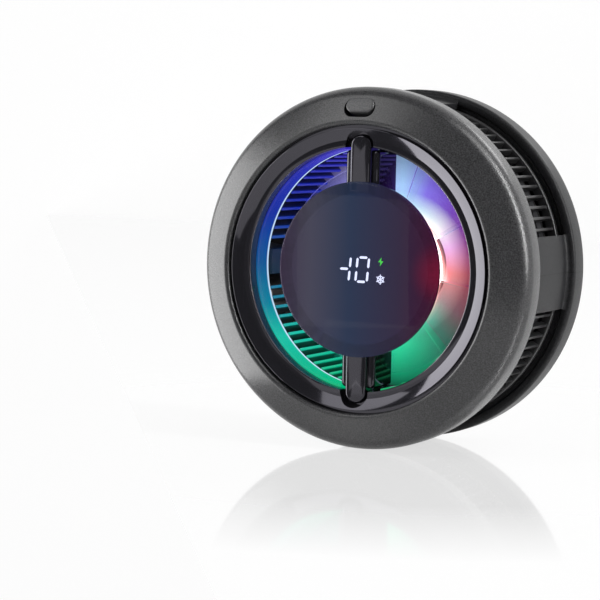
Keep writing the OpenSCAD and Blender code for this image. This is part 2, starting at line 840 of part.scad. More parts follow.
// Round, tapering case of the display with its two arms
module display_pod() {
  color("black") upright() difference() {
    union() {
      translate([0, 0, pod_back]) cylinder(r1 = pod_back_r, r2 = lens_r, h = pod_h - pod_rim);
      rod(lens_r, lens_back - pod_rim, lens_back);
      for (a = [0, 180]) clock(a) pod_arm();
    }
    rod(board_r - pod_wall, pod_back + pod_wall, lens_back + 1);
    rod(board_r, board_z, lens_back + 1);
    rod(lens_r + fit, lens_back, z_seam);
    for (a = [0, 180]) clock(a, foot_screw_r) {
      rod(screw_r + fit, z_frame, z_seam);
      rod(screw_head_r + fit, z_board + foot_h - eps, z_seam);
    }
  }
}

module display_board() {
  color("darkgreen") upright() rod(board_r - fit, board_z, board_z + display_board_t);
}

// One lit segment with cut corners, lying along y
module segment(length) {
  tip = segment_w / 2;
  half = length / 2;
  polygon([
    [0, half], [tip, half - tip], [tip, tip - half], [0, -half], [-tip, tip - half], [-tip, half - tip]
  ]);
}

// Lightning sign
module bolt() {
  half = sign_h / 2;
  polygon([
    [half / 5, half], [-half * 0.65, -half / 8], [-half / 12, -half / 8],
    [-half / 5, -half], [half * 0.65, half / 8], [half / 12, half / 8]
  ]);
}

// Snow crystal: six arms, each with a pair of twigs
module snowflake() {
  for (k = [0 : 5]) rotate(k * 60) {
    translate([-sign_line / 2, 0]) square([sign_line, sign_h * 0.56]);
    translate([0, sign_h * 0.28]) for (side = [-60, 60]) rotate(side)
      translate([-sign_line / 2, 0]) square([sign_line, sign_h / 5]);
  }
}

// Digits of the readout, with the signs for charging and cooling beside them
module readout() {
  upright_l = digit_h / 2 - segment_w - segment_gap;
  flat_l = digit_w - segment_w - segment_gap;
  lean = [[1, tan(digit_lean), 0, 0], [0, 1, 0, 0], [0, 0, 1, 0], [0, 0, 0, 1]];
  multmatrix(lean) {
    for (x = [one_x, zero_x - digit_w / 2, zero_x + digit_w / 2], side = [-1, 1])
      translate([x, side * digit_h / 4]) segment(upright_l);
    for (side = [-1, 1]) translate([zero_x, side * (digit_h - segment_w) / 2]) rotate(90) segment(flat_l);
    translate([minus_x, 0]) rotate(90) segment(flat_l);
  }
  translate([sign_x, sign_y]) bolt();
  translate([sign_x, -sign_y]) snowflake();
}

module display_segments() {
  color("white") upright() translate([0, 0, board_z + display_board_t]) {
    linear_extrude(segment_rise) readout();
  }
}

// Smoked lens with a rounded front edge
module display_lens() {
  color([0.1, 0.1, 0.16]) upright() rotate_extrude() intersection() {
    union() {
      soft_rect([0, lens_back - lens_t], [lens_r, lens_front], lens_round);
      translate([0, lens_back]) square([lens_r / 2, lens_t]);
    }
    translate([0, lens_back]) square([lens_r, lens_t]);
  }
}

// Plan of the notch for an arm, with fillets where it opens into the lip
module notch_plan() {
  half = notch_w / 2;
  top = rib_end - rib_w / 2;
  c = [half + notch_fillet, sqrt(pow(lip_r + notch_fillet, 2) - pow(half + notch_fillet, 2))];
  touch = c * lip_r / (lip_r + notch_fillet);
  translate([-half, 0]) square([notch_w, top]);
  translate([0, top]) circle(r = half);
  for (side = [0, 1]) mirror([side, 0]) difference() {
    polygon([[0, c.y], c, touch, [touch.x, 0], [0, 0]]);
    translate(c) circle(r = notch_fillet);
  }
}

// Glossy inlet ring: ledge, sloping face, deep lip, and a flange that is held under the bezel
module inlet_ring() {
  hook_r = boss_at - boss_r - 2 * fit;
  function hook_top(r) = face_height(r) - (bezel_wall + fit) / cos(face_slope);
  function toward(p, q, d) = p + (q - p) / norm(q - p) * d;
  foot = [lip_r, z_inlet];
  lip = [lip_r, z_inlet + lip_h];
  shoulder = [rim_r - rim_flat, z_seam - face_drop];
  ledge = [rim_r - rim_flat, z_seam - rim_drop];
  rim = [rim_r, z_seam - rim_drop];
  rim_foot = [rim_r, hook_top(seam_r)];
  section = [
    foot, toward(lip, foot, lip_ease), toward(lip, shoulder, lip_ease),
    toward(shoulder, lip, rim_ease), toward(shoulder, ledge, rim_ease), ledge,
    toward(rim, ledge, rim_ease), toward(rim, rim_foot, rim_ease), rim_foot,
    [seam_r, hook_top(seam_r)], [hook_r, hook_top(hook_r)], [hook_r, hook_top(hook_r) - inlet_t],
    [rim_r, hook_top(hook_r) - inlet_t], [rim_r, z_inlet]
  ];
  color([0.08, 0.08, 0.1]) upright() difference() {
    rotate_extrude() polygon(section);
    for (a = [0, 180]) clock(a) translate([0, 0, z_inlet - 1]) linear_extrude(inlet_h + 2) notch_plan();
  }
}

module button_board() {
  color("darkgreen") upright() translate([0, 0, shelf_top])
    block(shelf_w - 2 * fit, shelf_in, shelf_out - fit, 0, switch_board_t);
}

module button_switch() {
  color("silver") upright() difference() {
    block(switch_w, button_r - switch_d / 2, button_r + switch_d / 2, shelf_top + switch_board_t, switch_top);
    translate([0, button_r, 0]) rod(plunger_r + fit, switch_top - button_travel - slip, z_seam);
  }
}

module switch_plunger() {
  color("black") upright() translate([0, button_r, 0])
    rod(plunger_r, switch_top - fit, plunger_top);
}

// Cap with a flange behind the bezel's wall; its top follows the bezel's face
module button_cap() {
  cap = [button_l - 2 * button_gap, button_h - 2 * button_gap];
  color("gray") upright() {
    intersection() {
      translate([0, button_r, plunger_top + fit]) linear_extrude(z_seam) stadium(cap.x, cap.y);
      rotate_extrude() face_region(-button_proud, z_frame);
    }
    translate([0, button_r, plunger_top + fit]) linear_extrude(button_flange)
      stadium(cap.x + 2 * flange_over, cap.y + 2 * flange_over);
    translate([0, button_r, 0]) rod(plunger_r, plunger_top, plunger_top + fit + button_flange);
  }
}

// Front ring: sloping face, rounded edge, opening for the button and bosses for the case screws
module front_bezel() {
  color("dimgray") upright() difference() {
    union() {
      rotate_extrude() difference() {
        face_region(0, z_bezel);
        face_region(bezel_wall, z_bezel - 1);
        corner([seam_r, z_bezel], seam_p, edge_p, seam_round);
      }
      intersection() {
        for (a = boss_angles) clock(a, boss_at) rod(boss_r, z_board, z_seam);
        rotate_extrude() face_region(bezel_wall / 2, z_bezel - bezel_side);
      }
    }
    for (a = boss_angles) clock(a, boss_at)
      rod(screw_r + fit / 2, z_bezel - bezel_side, z_board + screw_reach);
    translate([0, button_r, z_frame]) linear_extrude(z_seam) stadium(button_l, button_h);
  }
}

// Pan-head screw with a slot, standing on its seat at z with its point towards +z or -z
module screw(z, length, way) {
  translate([0, 0, z]) mirror([0, 0, way < 0 ? 1 : 0]) difference() {
    union() {
      rod(screw_r, -screw_head_h, length);
      rod(screw_head_r, -screw_head_h, 0);
    }
    translate([-screw_head_r, -screw_r / 4, -screw_head_h - eps])
      cube([2 * screw_head_r, screw_r / 2, screw_head_h / 2]);
  }
}

module case_screws() {
  color("black") upright() for (a = boss_angles) clock(a, boss_at)
    screw(screw_seat, z_board + screw_reach - screw_tip_gap - screw_seat, 1);
}

module frame_screws() {
  color("black") upright() for (a = [90, 270]) clock(a, block_screw_r)
    screw(z_board, frame_t + screw_reach, -1);
}

module pod_screws() {
  color("black") upright() for (a = [0, 180]) clock(a, foot_screw_r)
    screw(z_board + foot_h, foot_h + frame_t + foot_boss_h - screw_tip_gap, -1);
}

rear_housing();
contact_pad();
magnet_ring();
magnet_yoke();
charging_coil();
ferrite_sheet();
cold_plate();
temperature_probe();
tec_cold_plate();
tec_pellets();
tec_hot_plate();
insulation_ring();
heat_sink();
usb_board();
usb_socket();
usb_tongue();
exhaust_grille();
fan_base();
fan_board();
bearing_sleeve();
stator_core();
stator_windings();
shaft();
rotor_magnet();
rotor_yoke();
impeller();
fan_frame();
ring_board();
rgb_leds();
light_guide();
display_pod();
display_board();
display_segments();
display_lens();
inlet_ring();
button_board();
button_switch();
switch_plunger();
button_cap();
front_bezel();
case_screws();
frame_screws();
pod_screws();
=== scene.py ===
import json
import math

import bmesh
import bpy
from mathutils import Matrix, Vector


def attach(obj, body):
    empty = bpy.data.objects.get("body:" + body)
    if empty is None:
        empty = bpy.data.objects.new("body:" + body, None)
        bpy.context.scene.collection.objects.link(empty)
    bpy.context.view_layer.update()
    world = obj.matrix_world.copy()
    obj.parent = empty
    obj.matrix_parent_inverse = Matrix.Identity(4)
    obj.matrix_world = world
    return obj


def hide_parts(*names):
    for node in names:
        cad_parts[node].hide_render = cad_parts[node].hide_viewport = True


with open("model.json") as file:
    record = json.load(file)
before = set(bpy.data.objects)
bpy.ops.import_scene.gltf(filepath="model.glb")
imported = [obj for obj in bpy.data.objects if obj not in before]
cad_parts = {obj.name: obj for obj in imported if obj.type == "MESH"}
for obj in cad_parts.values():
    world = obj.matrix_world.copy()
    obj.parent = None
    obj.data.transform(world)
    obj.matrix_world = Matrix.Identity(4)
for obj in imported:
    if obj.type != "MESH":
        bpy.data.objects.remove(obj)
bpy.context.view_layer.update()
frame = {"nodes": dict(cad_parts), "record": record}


# Contact pad: a disc of soft grey silicone that lies on the phone, moulded with a rounded edge and
# stuck into the recess of the rear floor.
MM = 0.001


def at_clock(angle, radius, height):
    """A point at a clock angle in degrees, a radius and a height above the phone, both in mm."""
    turn = math.radians(angle)
    return Vector((radius * math.sin(turn), -height, radius * math.cos(turn))) * MM


def rounded(shell, edges, setback, segments, clamp=True):
    """Rounds edges off, with a setback in mm."""
    bmesh.ops.bevel(
        shell, geom=edges, offset=setback * MM, offset_type="OFFSET", segments=segments, profile=0.5,
        affect="EDGES", clamp_overlap=clamp, material=-1)


def turned(shell, section, rounds=(), start=0.0, sweep=360.0, steps=192):
    """Turns a section of (radius, height) points, in mm, about the fan's axis.

    Each of the rounds is a corner's number in the section, its setback in mm and its segments.
    """
    corners = [shell.verts.new(at_clock(start, r, h)) for r, h in section]
    edges = [shell.edges.new((a, b)) for a, b in zip(corners, corners[1:] + corners[:1])]
    whole = sweep == 360.0
    faces = [] if whole else [shell.faces.new(corners)]
    bmesh.ops.spin(
        shell, geom=corners + edges + faces, cent=(0, 0, 0), axis=(0, 1, 0), dvec=(0, 0, 0),
        angle=math.radians(sweep), steps=steps, use_merge=whole, use_normal_flip=False,
        use_duplicate=False)
    bmesh.ops.remove_doubles(shell, verts=shell.verts, dist=1e-7)
    near = 2e-6
    for corner, setback, segments in rounds:
        r, h = section[corner]
        on_corner = [
            e for e in shell.edges
            if all(
                abs(math.hypot(v.co.x, v.co.z) - r * MM) < near and abs(v.co.y + h * MM) < near
                for v in e.verts)]
        rounded(shell, on_corner, setback, segments)


def placed(shell, name, body, slot, finish, *nodes, crisp=38):
    """Makes a bmesh a piece that rides on a body and stands for CAD nodes."""
    bmesh.ops.recalc_face_normals(shell, faces=shell.faces)
    mesh = bpy.data.meshes.new(name)
    shell.to_mesh(mesh)
    shell.free()
    mesh.shade_smooth()
    mesh.set_sharp_from_angle(angle=math.radians(crisp))
    mesh.materials.append(finish)
    piece = bpy.data.objects.new(name, mesh)
    bpy.context.scene.collection.objects.link(piece)
    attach(piece, body)
    if nodes:
        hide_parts(*nodes)
    return piece


def node_in(tree, kind, values=None, **settings):
    """Adds a shader node with its settings, and gives inputs their values by name or by number."""
    node = tree.nodes.new("ShaderNode" + kind)
    for setting, value in settings.items():
        setattr(node, setting, value)
    for socket, value in (values or {}).items():
        node.inputs[socket].default_value = value
    return node


def wired(tree, *links):
    """Links outputs to inputs, given in pairs."""
    for output, socket in links:
        tree.links.new(output, socket)


grain = bpy.data.node_groups.new("moulded_grain", "ShaderNodeTree")
for way, label, kind in (
        ("INPUT", "Colour", "Color"), ("INPUT", "Grain scale", "Float"), ("INPUT", "Roughness", "Float"),
        ("INPUT", "Unevenness", "Float"), ("INPUT", "Speckle", "Float"), ("OUTPUT", "Colour", "Color"),
        ("OUTPUT", "Roughness", "Float"), ("OUTPUT", "Height", "Float")):
    grain.interface.new_socket(label, in_out=way, socket_type="NodeSocket" + kind)
grain_in = grain.nodes.new("NodeGroupInput")
grain_out = grain.nodes.new("NodeGroupOutput")
where = node_in(grain, "TexCoord")
fine = node_in(grain, "TexNoise", {"Detail": 3})
broad = node_in(grain, "TexNoise", {"Scale": 90, "Detail": 4})
tone = node_in(grain, "MapRange", {"To Min": -1, "To Max": 1})
swing = node_in(grain, "Math", operation="MULTIPLY")
level = node_in(grain, "Math", {1: 1}, operation="ADD")
dots = node_in(grain, "MapRange", {"From Min": 0.3, "From Max": 0.7, "To Min": -1, "To Max": 1})
speckled = node_in(grain, "Math", operation="MULTIPLY_ADD")
shade = node_in(grain, "VectorMath", operation="SCALE")
satin = node_in(grain, "Math", operation="MULTIPLY")
wired(
    grain, (where.outputs["Object"], fine.inputs["Vector"]),
    (where.outputs["Object"], broad.inputs["Vector"]),
    (grain_in.outputs["Grain scale"], fine.inputs["Scale"]), (broad.outputs["Fac"], tone.inputs["Value"]),
    (tone.outputs["Result"], swing.inputs[0]), (grain_in.outputs["Unevenness"], swing.inputs[1]),
    (swing.outputs["Value"], level.inputs[0]), (fine.outputs["Fac"], dots.inputs["Value"]),
    (dots.outputs["Result"], speckled.inputs[0]), (grain_in.outputs["Speckle"], speckled.inputs[1]),
    (level.outputs["Value"], speckled.inputs[2]), (grain_in.outputs["Colour"], shade.inputs[0]),
    (speckled.outputs["Value"], shade.inputs["Scale"]), (shade.outputs["Vector"], grain_out.inputs["Colour"]),
    (grain_in.outputs["Roughness"], satin.inputs[0]), (level.outputs["Value"], satin.inputs[1]),
    (satin.outputs["Value"], grain_out.inputs["Roughness"]),
    (fine.outputs["Fac"], grain_out.inputs["Height"]))


def grained(name, colour, roughness, scale, unevenness, bump, speckle=0.0, **sockets):
    """A finish with a fine grain: so many grains per metre, with a bump as deep as given in mm.

    Unevenness is the swing of tone and gloss over broad patches, and speckle that of the grains'
    tone. Other sockets of the shader are given by name.
    """
    finish = bpy.data.materials.new(name)
    finish.use_nodes = True
    tree = finish.node_tree
    shader = tree.nodes["Principled BSDF"]
    surface = node_in(
        tree, "Group",
        {"Colour": (*colour, 1), "Roughness": roughness, "Grain scale": scale, "Unevenness": unevenness,
         "Speckle": speckle},
        node_tree=grain, name="grain")
    wired(
        tree, (surface.outputs["Colour"], shader.inputs["Base Color"]),
        (surface.outputs["Roughness"], shader.inputs["Roughness"]))
    if bump:
        relief = node_in(tree, "Bump", {"Distance": bump * MM, "Strength": 1})
        wired(
            tree, (surface.outputs["Height"], relief.inputs["Height"]),
            (relief.outputs["Normal"], shader.inputs["Normal"]))
    for socket, value in sockets.items():
        shader.inputs[socket.replace("_", " ")].default_value = value
    return finish


silicone = grained(
    "silicone", (0.045, 0.045, 0.048), roughness=0.62, scale=1800, unevenness=0.1, bump=0.02)
pad = bmesh.new()
turned(pad, [(0.01, 0), (30.7, 0), (30.7, 0.9), (0.01, 0.9)], [(1, 0.3, 4), (2, 0.3, 4)])
placed(pad, "silicone_pad", "root", "silicone", silicone, "contact_pad")


# Rear housing: injection-moulded shell of dark grey plastic with a fine spark-eroded texture and the
# mould's parting line. Its floor ends in a rounded flange, four bridges rise from it through the
# waist to the bezel, and six bosses take the case screws.
def joined(shell, part):
    """Adds one bmesh to another."""
    mesh = bpy.data.meshes.new("part")
    part.to_mesh(mesh)
    part.free()
    shell.from_mesh(mesh)
    bpy.data.meshes.remove(mesh)


rear_grey = grained(
    "rear_plastic", (0.018, 0.018, 0.0195), roughness=0.34, scale=4200, unevenness=0.07, bump=0.03,
    speckle=0.6, Specular_IOR_Level=0.2)
parting_half_width = 0.06 * MM
tree = rear_grey.node_tree
parting_place = node_in(tree, "TexCoord")
parting_parts = node_in(tree, "SeparateXYZ")
at_middle = node_in(tree, "Math", {1: 0, 2: parting_half_width}, operation="COMPARE")
parting = node_in(tree, "Mix", {"B": (0.003, 0.003, 0.003, 1)}, data_type="RGBA")
wired(
    tree, (parting_place.outputs["Object"], parting_parts.inputs["Vector"]),
    (parting_parts.outputs["Z"], at_middle.inputs[0]), (at_middle.outputs["Value"], parting.inputs["Factor"]),
    (tree.nodes["grain"].outputs["Colour"], parting.inputs["A"]),
    (parting.outputs["Result"], tree.nodes["Principled BSDF"].inputs["Base Color"]))
rear = bmesh.new()
turned(
    rear,
    [(22, 0.9), (30.8, 0.9), (30.8, 0.4), (33, 0.4), (33, 5.5), (31.1, 5.5), (31.1, 4.9), (28.8, 4.9),
     (28.8, 1.9), (22, 1.9)],
    [(2, 0.2, 3), (3, 0.9, 8), (4, 0.75, 8), (5, 0.58, 8)])
bridge_section = [
    (30.6, 4.7), (32.4, 4.7), (32.4, 5.5), (31.5, 5.5), (31.5, 22.2), (31.3, 22.2), (31.3, 23.8),
    (30.6, 23.8)]
flange_fillet = (3, 0.88, 8)
square_turn = 1.2
for middle, half in ((0, 16), (90, 12.5), (180, 16), (270, 12.5)):
    bridge = bmesh.new()
    turned(bridge, bridge_section, [flange_fillet], start=middle - half, sweep=2 * half, steps=24)
    outer_sides = [
        e for e in bridge.edges
        if len(e.link_faces) == 2 and e.calc_face_angle() > square_turn
        and all(math.hypot(v.co.x, v.co.z) > 31.4 * MM and v.co.y < -6.3 * MM for v in e.verts)]
    rounded(bridge, outer_sides, 0.5, 4)
    joined(rear, bridge)
boss_radius = 1.5 * MM
boss_length = 18.2 * MM
for angle in (12, 90, 168, 192, 270, 348):
    bmesh.ops.create_cone(
        rear, cap_ends=True, segments=24, radius1=boss_radius, radius2=boss_radius, depth=boss_length,
        matrix=Matrix.Translation(at_clock(angle, 29.1, 11.0)) @ Matrix.Rotation(math.pi / 2, 4, "X"))
placed(rear, "rear_shell", "root", "housing", rear_grey, "rear_housing")


# Outlet grille: four curved inserts of the same plastic, each a row of upright slats between two end
# rings, clipped in behind the bridges. The slats' outer edges are softened by the mould.
def along_axis(edge):
    """Says whether an edge runs along the fan's axis."""
    return abs(edge.verts[0].co.y - edge.verts[1].co.y) > 0.5 * MM


grille_grey = grained(
    "grille_plastic", (0.018, 0.018, 0.019), roughness=0.3, scale=5200, unevenness=0.08, bump=0.01,
    Specular_IOR_Level=0.8)
slat_width, slat_height, slat_depth = 0.6, 17.5, 1.34
slat_pitch = 4
grille = bmesh.new()
for first, last in ((16, 77.5), (102.5, 164), (196, 257.5), (282.5, 344)):
    turned(
        grille, [(28.8, 5.9), (30.5, 5.9), (30.5, 6.9), (28.8, 6.9)], [(1, 0.15, 3), (2, 0.3, 3)],
        start=first, sweep=last - first, steps=48)
    turned(
        grille, [(28.8, 22.5), (30.3, 22.5), (30.3, 23.5), (28.8, 23.5)],
        start=first, sweep=last - first, steps=48)
    for k in range(-7, 8):
        slat_turn = Matrix.Rotation(math.radians((first + last) / 2 + slat_pitch * k), 4, "Y")
        slat = bmesh.ops.create_cube(
            grille, size=1,
            matrix=slat_turn @ Matrix.Translation(Vector((0, -14.7, 29.48)) * MM)
            @ Matrix.Diagonal((slat_width * MM, slat_height * MM, slat_depth * MM, 1)))
        outward = slat_turn @ Vector((0, 0, 1))
        outer_edges = dict.fromkeys(
            e for v in slat["verts"] for e in v.link_edges
            if along_axis(e) and all((w.co @ outward) > 29.9 * MM for w in e.verts))
        rounded(grille, list(outer_edges), 0.2, 2)
placed(grille, "outlet_grille", "root", "grille", grille_grey, "exhaust_grille")


# Heat sink: a plate with radial fins round the fan, milled from aluminium and anodised dark, on the
# thermoelectric module. The diodes' light on it is painted into it as emission, in a colour of their own
# at each hour: on the fins' inner edges, and on the plate under the clear fan.
light = bpy.data.node_groups.new("diode_light", "ShaderNodeTree")
for label, kind in (
        ("Edge colour", "Color"), ("Painted plate light", "Color"), ("Radius", "Float"), ("Height", "Float")):
    light.interface.new_socket(label, in_out="OUTPUT", socket_type="NodeSocket" + kind)
light_out = light.nodes.new("NodeGroupOutput")
place = node_in(light, "TexCoord")
in_mm = node_in(light, "VectorMath", {"Scale": 1 / MM}, operation="SCALE")
parts = node_in(light, "SeparateXYZ")
flat = node_in(light, "CombineXYZ")
from_axis = node_in(light, "VectorMath", operation="LENGTH")
from_phone = node_in(light, "Math", {1: -1}, operation="MULTIPLY")
bearing = node_in(light, "Math", operation="ARCTAN2")
wired(
    light, (place.outputs["Object"], in_mm.inputs[0]), (in_mm.outputs["Vector"], parts.inputs["Vector"]),
    (parts.outputs["X"], bearing.inputs[0]), (parts.outputs["Z"], bearing.inputs[1]),
    (parts.outputs["X"], flat.inputs["X"]), (parts.outputs["Z"], flat.inputs["Z"]),
    (flat.outputs["Vector"], from_axis.inputs[0]), (from_axis.outputs["Value"], light_out.inputs["Radius"]),
    (parts.outputs["Y"], from_phone.inputs[0]), (from_phone.outputs["Value"], light_out.inputs["Height"]))


def graded(tree, socket, low, high, stops):
    """Colours that run along a socket's value from low to high, through stops of a value and a colour."""
    share = node_in(tree, "MapRange", {"From Min": low, "From Max": high})
    hues = node_in(tree, "ValToRGB")
    elements = hues.color_ramp.elements
    elements.remove(elements[1])
    for k, (value, hue) in enumerate(stops):
        position = (value - low) / (high - low)
        stop = elements.new(position) if k else elements[0]
        stop.position = position
        stop.color = (*hue, 1)
    wired(tree, (socket, share.inputs["Value"]), (share.outputs["Result"], hues.inputs["Fac"]))
    return hues.outputs["Color"]


def by_clock(stops):
    """Colours round the clock, from stops of an angle in degrees and a colour. The first closes it."""
    return graded(light, bearing.outputs["Value"], -math.pi, math.pi, [
        (math.radians(angle), hue) for angle, hue in stops + [(180, stops[0][1])]])


# Diode light by hour: the glow of the light guide and of the diodes themselves, and the painted light on the
# fins' inner edges.
edge_colours = by_clock([
    (-180, (0.0, 0.45, 0.15)), (-155, (0.0, 0.45, 0.22)), (-128, (0.005, 0.5, 0.36)),
    (-110, (0.0, 0.2, 0.3)), (-90, (0.0, 0.08, 0.26)), (-65, (0.0, 0.015, 0.3)),
    (-35, (0.01, 0.015, 0.36)), (0, (0.06, 0.04, 0.5)), (30, (0.2, 0.15, 0.7)), (60, (0.15, 0.06, 0.4)),
    (90, (0.3, 0.03, 0.1)), (120, (0.12, 0.05, 0.06)), (150, (0.02, 0.3, 0.12))])
# Painted light on the plate by hour, as the diodes would light it near the hub and near the rim.
painted_hub_side_light = by_clock([
    (-180, (0.05, 0.8, 0.4)), (-110, (0, 0.2, 0.3)), (-60, (0.1, 0.15, 0.7)), (-30, (0.5, 0.5, 1)),
    (0, (0.5, 0.9, 1)), (20, (0.7, 1, 1)), (45, (1, 1, 1)), (70, (1, 0.5, 0.9)), (95, (1, 0.25, 0.25)),
    (125, (0.4, 0.25, 0.25)), (150, (0.05, 0.6, 0.4))])
painted_rim_side_light = by_clock([
    (-180, (0, 0.75, 0.35)), (-110, (0, 0.2, 0.3)), (-60, (0.1, 0.1, 0.8)), (-30, (0.5, 0.45, 1)),
    (0, (0.4, 0.65, 1)), (20, (0.22, 0.15, 0.8)), (45, (0.14, 0.02, 0.45)), (70, (0.2, 0, 0.2)),
    (95, (0.3, 0, 0.03)), (125, (0.15, 0.05, 0.07)), (145, (0.01, 0.15, 0.1))])
painted_plate_light = painted_hub_side_light
# The painted light on the plate fades from the hub's colours to the rim's, then to none farther out.
for start, end, farther in ((10.5, 14, painted_rim_side_light), (15, 24, None)):
    fade = node_in(light, "MapRange", {"From Min": start, "From Max": end})
    blend = node_in(light, "Mix", {"B": (0, 0, 0, 1)}, data_type="RGBA")
    wired(
        light, (from_axis.outputs["Value"], fade.inputs["Value"]),
        (fade.outputs["Result"], blend.inputs["Factor"]), (painted_plate_light, blend.inputs["A"]))
    if farther:
        light.links.new(farther, blend.inputs["B"])
    painted_plate_light = blend.outputs["Result"]
wired(
    light, (edge_colours, light_out.inputs["Edge colour"]), (painted_plate_light, light_out.inputs["Painted plate light"]))


def finished(finish, *nodes):
    """Gives CAD nodes that stay in view their finish."""
    for name in nodes:
        frame["nodes"][name].data.materials.clear()
        frame["nodes"][name].data.materials.append(finish)


def diodes_on(finish):
    """Puts the diodes' light into a finish. Gives the finish's node tree, its shader and the light."""
    tree = finish.node_tree
    shader = tree.nodes["Principled BSDF"]
    shader.inputs["Emission Strength"].default_value = 1
    return tree, shader, node_in(tree, "Group", node_tree=light).outputs


aluminium = grained(
    "anodised_aluminium", (0.03, 0.03, 0.033), roughness=0.5, scale=2500, unevenness=0.06, bump=0.006)
plate_top = 10.2
tree, shader, diodes = diodes_on(aluminium)
# Painted light on the fins: brightest at their inner edges, fading outwards.
painted_fin_light = graded(
    tree, diodes["Radius"], 21.7, 26, [(21.75, (1, 1, 1)), (22.1, (0.1, 0.1, 0.1)), (24, (0.01, 0.01, 0.01))])
fin_shine = node_in(tree, "Mix", {"Factor": 1}, data_type="RGBA", blend_type="MULTIPLY")
above_plate = node_in(tree, "Math", {1: plate_top}, operation="GREATER_THAN")
fin_or_plate = node_in(tree, "Mix", data_type="RGBA")
wired(
    tree, (diodes["Edge colour"], fin_shine.inputs["A"]), (painted_fin_light, fin_shine.inputs["B"]),
    (diodes["Height"], above_plate.inputs[0]), (above_plate.outputs["Value"], fin_or_plate.inputs["Factor"]),
    (diodes["Painted plate light"], fin_or_plate.inputs["A"]),
    (fin_shine.outputs["Result"], fin_or_plate.inputs["B"]),
    (fin_or_plate.outputs["Result"], shader.inputs["Emission Color"]))
finished(aluminium, "heat_sink", "cold_plate")


# Clear fan: a hub cup and nine cambered blades moulded in one piece of clear plastic, pressed onto
# the shaft. The light that it catches is painted on as a glow, brightest at the hub and fading outwards.
clear_fan = grained(
    "clear_plastic", (0.92, 0.95, 0.98), roughness=0.12, scale=900, unevenness=0.05, bump=0.004,
    Transmission_Weight=0.98, IOR=1.12)
tree, shader, diodes = diodes_on(clear_fan)
# Painted glow: the diodes' light on the fan, pale at the hub, fading to none outwards.
painted_hub_glow = graded(tree, diodes["Radius"], 10, 20, [
    (10, (1.0, 0.9, 0.85)), (10.6, (1.0, 0.8, 0.75)), (11.6, (0.75, 0.3, 0.28)),
    (12.4, (0.08, 0.02, 0.022)), (13.2, (0.004, 0.003, 0.004)), (20, (0, 0, 0))])
tree.links.new(painted_hub_glow, shader.inputs["Emission Color"])
blades, blade_sweep, blade_thickness = 9, 40, 0.5
root_radius, tip_radius = 10.0, 19.9
blade_middle, blade_lowest, blade_highest = 16.8, 14.2, 19.0
blade_slope = math.tan(math.radians(19))
camber = 44
fan = bmesh.new()
turned(
    fan, [(0.8, 18.3), (9.4, 18.3), (9.4, 13.7), (10.2, 13.7), (10.2, 19.3), (0.8, 19.3)], [(4, 0.5, 5)],
    steps=96)
for blade in range(blades):
    sheet = bmesh.ops.create_grid(fan, x_segments=12, y_segments=8, size=0.5)["verts"]
    for v in sheet:
        angle = blade_sweep * v.co.x
        radius = root_radius + (tip_radius - root_radius) * (v.co.y + 0.5)
        along = radius * math.sin(math.radians(angle))
        rise = blade_middle - along * blade_slope - along * along / camber
        v.co = at_clock(360 / blades * blade + angle, radius, min(max(rise, blade_lowest), blade_highest))
    faces = list(dict.fromkeys(f for v in sheet for f in v.link_faces))
    bmesh.ops.recalc_face_normals(fan, faces=faces)
    bmesh.ops.solidify(fan, geom=faces, thickness=blade_thickness * MM)
placed(fan, "clear_fan", "rotor", "clear_fan", clear_fan, "impeller")


# Light guide: two half rings of clear plastic behind the inlet's lip, laid on the fan's frame over
# the diodes. The colour runs round the ring because each diode shines in another colour, and the
# rear edge shows as a pale line.
guide_finish = grained(
    "guide_plastic", (0.01, 0.012, 0.02), roughness=0.25, scale=900, unevenness=0.06, bump=0.004,
    Specular_IOR_Level=0.2)
tree, shader, diodes = diodes_on(guide_finish)
on_line = graded(
    tree, diodes["Height"], 21.9, 26.1, [(21.9, (1, 1, 1)), (22.3, (1, 1, 1)), (22.6, (0, 0, 0))])
line_or_wall = node_in(tree, "Mix", {"B": (0.55, 0.75, 0.95, 1)}, data_type="RGBA")
wired(
    tree, (on_line, line_or_wall.inputs["Factor"]), (diodes["Edge colour"], line_or_wall.inputs["A"]),
    (line_or_wall.outputs["Result"], shader.inputs["Emission Color"]))
guide = bmesh.new()
for side in (0, 180):
    turned(
        guide, [(22.0, 21.9), (22.9, 21.9), (22.9, 25.2), (25.5, 25.2), (25.5, 26.1), (22.0, 26.1)],
        [(5, 0.3, 4)], start=side + 10.6, sweep=158.8, steps=96)
placed(guide, "light_ring", "root", "light_guide", guide_finish, "light_guide")


# Display pod: a round cup of polished black plastic with two arms that reach over the lip and are
# screwed to the fan's frame. Each arm is a narrow front rib with a round end on a wider base.
def softened(shell, turn, low, high, end_round, front_round):
    """Adds a block from low to high (x, radius, height), with its far end and front edges rounded, in mm."""
    part = bmesh.new()
    middle = [(a + b) / 2 for a, b in zip(low, high)]
    size = [(b - a) * MM for a, b in zip(low, high)]
    bmesh.ops.create_cube(
        part, size=1,
        matrix=Matrix.Translation(Vector((middle[0], -middle[2], middle[1])) * MM)
        @ Matrix.Diagonal((size[0], size[2], size[1], 1)))
    far_edges = [
        e for e in part.edges if along_axis(e) and all(v.co.z > (high[1] - 0.01) * MM for v in e.verts)]
    rounded(part, far_edges, end_round, 8)
    front_edges = [e for e in part.edges if all(v.co.y < (0.01 - high[2]) * MM for v in e.verts)]
    rounded(part, front_edges, front_round, 4)
    bmesh.ops.transform(part, matrix=turn, verts=part.verts)
    joined(shell, part)


